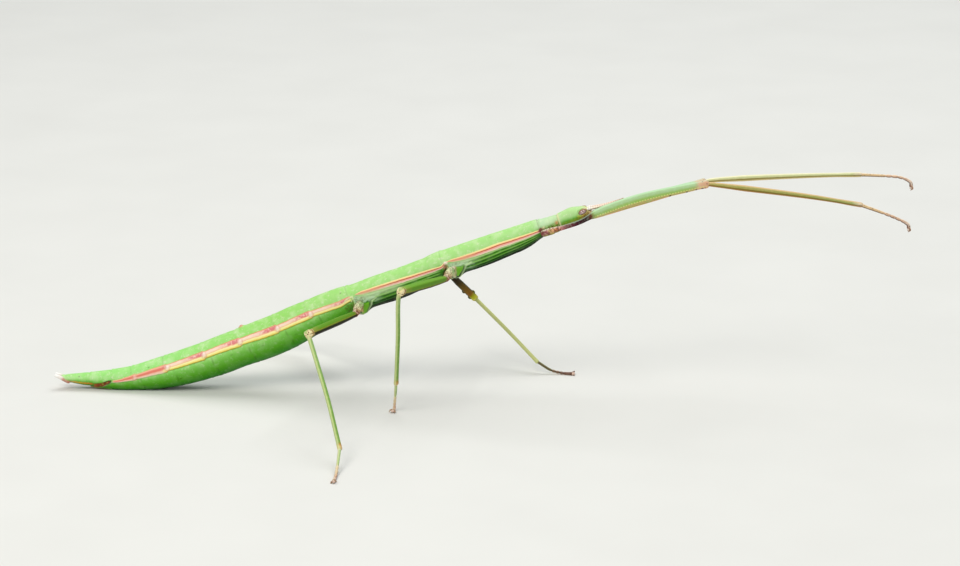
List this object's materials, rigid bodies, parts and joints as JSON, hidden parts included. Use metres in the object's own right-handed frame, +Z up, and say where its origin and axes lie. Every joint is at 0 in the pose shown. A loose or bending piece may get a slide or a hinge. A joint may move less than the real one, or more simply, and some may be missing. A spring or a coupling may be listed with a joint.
{
  "type": "stick insect",
  "caption": "Life-size green stick insect, tail resting on the floor, body raised and fore legs stretched ahead.",
  "frame": {"origin": "middle of the insect's outline seen from above, on the floor it rests on", "axes": "+X towards the head, +Y to the insect's left, +Z up"},
  "size_m": [0.1112, 0.0496, 0.0282],
  "materials": {
    "body_green": "satin cuticle, pale green above, deeper green below, pink and cream side stripe",
    "head_green": "satin cuticle, pale green",
    "leg_green": "satin cuticle, olive green to beige",
    "coxa_brown": "satin cuticle, brown with pale pink",
    "tarsus_brown": "satin cuticle, pinkish brown",
    "feeler_pink": "satin cuticle, dull pink",
    "eye_brown": "glossy, purplish brown"
  },
  "bodies": {
    "root": {"abdomen_10": "body_green", "abdomen_9": "body_green", "abdomen_8": "body_green", "abdomen_7": "body_green", "abdomen_6": "body_green", "abdomen_5": "body_green", "abdomen_4": "body_green", "abdomen_3": "body_green", "abdomen_2": "body_green", "metathorax": "body_green", "mesothorax": "body_green", "prothorax": "head_green", "head": "head_green", "operculum": "head_green", "eye_right": "eye_brown", "antenna_right": "feeler_pink", "palp_right": "feeler_pink", "cercus_right": "feeler_pink", "eye_left": "eye_brown", "antenna_left": "feeler_pink", "palp_left": "feeler_pink", "cercus_left": "feeler_pink", "coxa_fore_right": "coxa_brown", "femur_fore_right": "leg_green", "tibia_fore_right": "leg_green", "tarsus_fore_right": "tarsus_brown", "coxa_fore_left": "coxa_brown", "femur_fore_left": "leg_green", "tibia_fore_left": "leg_green", "tarsus_fore_left": "tarsus_brown", "coxa_mid_right": "coxa_brown", "femur_mid_right": "leg_green", "tibia_mid_right": "leg_green", "tarsus_mid_right": "tarsus_brown", "coxa_mid_left": "coxa_brown", "femur_mid_left": "leg_green", "tibia_mid_left": "leg_green", "tarsus_mid_left": "tarsus_brown", "coxa_hind_right": "coxa_brown", "femur_hind_right": "leg_green", "tibia_hind_right": "leg_green", "tarsus_hind_right": "tarsus_brown", "coxa_hind_left": "coxa_brown", "femur_hind_left": "leg_green", "tibia_hind_left": "leg_green", "tarsus_hind_left": "tarsus_brown"}
  },
  "joints": []
}
